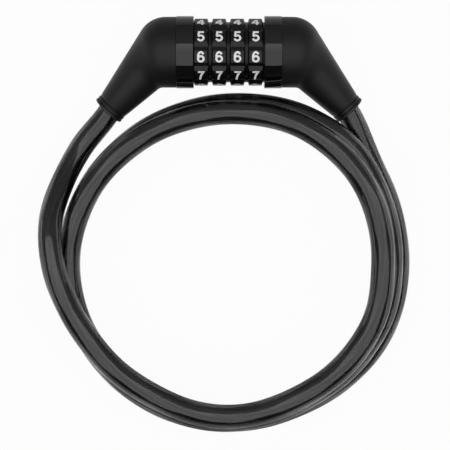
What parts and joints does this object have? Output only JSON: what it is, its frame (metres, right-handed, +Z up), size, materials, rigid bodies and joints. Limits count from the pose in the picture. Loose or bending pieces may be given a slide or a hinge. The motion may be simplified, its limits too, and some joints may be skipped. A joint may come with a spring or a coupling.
{
  "type": "combination cable lock",
  "caption": "Combination cable lock with dials between two elbow housings that plug together, and a looped jacketed steel cable.",
  "frame": {"origin": "on the surface that the lock lies on, under the middle of the head (collars, dials and elbows, without the cable)", "axes": "+X along the head from the half with the dials to the plug, +Y from the cable's loops toward the head, +Z up"},
  "size_m": [0.124, 0.1395, 0.0255],
  "materials": {
    "elbow_plastic": "satin black moulded plastic",
    "collar_gloss": "glossy black",
    "dial_plastic": "black with printed white numbers",
    "die_cast_metal": "die-cast zinc",
    "plated_steel": "zinc-plated steel",
    "ring_brass": "turned brass",
    "cable_jacket": "smoky clear vinyl jacket",
    "steel_rope": "twisted steel wire rope"
  },
  "bodies": {
    "lock_body": {"left_elbow": "elbow_plastic", "left_collar": "collar_gloss", "left_grommet": "elbow_plastic", "left_anchor": "die_cast_metal", "left_ferrule": "plated_steel", "core_screw": "plated_steel", "lock_core": "die_cast_metal", "detent_springs": "plated_steel", "detent_balls": "plated_steel", "spacer_1": "dial_plastic", "spacer_2": "dial_plastic", "spacer_3": "dial_plastic", "end_washer": "dial_plastic", "retaining_clip": "plated_steel", "cable_jacket": "cable_jacket", "cable_rope": "steel_rope"},
    "dial_body_1": {"dial_1": "dial_plastic", "code_ring_1": "ring_brass"},
    "dial_body_2": {"dial_2": "dial_plastic", "code_ring_2": "ring_brass"},
    "dial_body_3": {"dial_3": "dial_plastic", "code_ring_3": "ring_brass"},
    "dial_body_4": {"dial_4": "dial_plastic", "code_ring_4": "ring_brass"},
    "plug": {"locking_pin": "plated_steel", "right_collar": "collar_gloss", "right_elbow": "elbow_plastic", "right_grommet": "elbow_plastic", "right_anchor": "die_cast_metal", "right_ferrule": "plated_steel"}
  },
  "joints": [
    {"name": "dial_1_turn", "type": "hinge", "parent": "lock_body", "child": "dial_body_1", "pos_m": [-0.00925, 0.00543, 0.012], "axis": [1, 0, 0], "continuous": true},
    {"name": "dial_2_turn", "type": "hinge", "parent": "lock_body", "child": "dial_body_2", "pos_m": [-0.00325, 0.00543, 0.012], "axis": [1, 0, 0], "continuous": true},
    {"name": "dial_3_turn", "type": "hinge", "parent": "lock_body", "child": "dial_body_3", "pos_m": [0.00275, 0.00543, 0.012], "axis": [1, 0, 0], "continuous": true},
    {"name": "dial_4_turn", "type": "hinge", "parent": "lock_body", "child": "dial_body_4", "pos_m": [0.00875, 0.00543, 0.012], "axis": [1, 0, 0], "continuous": true},
    {"name": "plug_slide", "type": "slide", "parent": "lock_body", "child": "plug", "axis": [1, 0, 0], "range_m": [0, 0.03], "deforming": ["cable_jacket", "cable_rope"]}
  ]
}
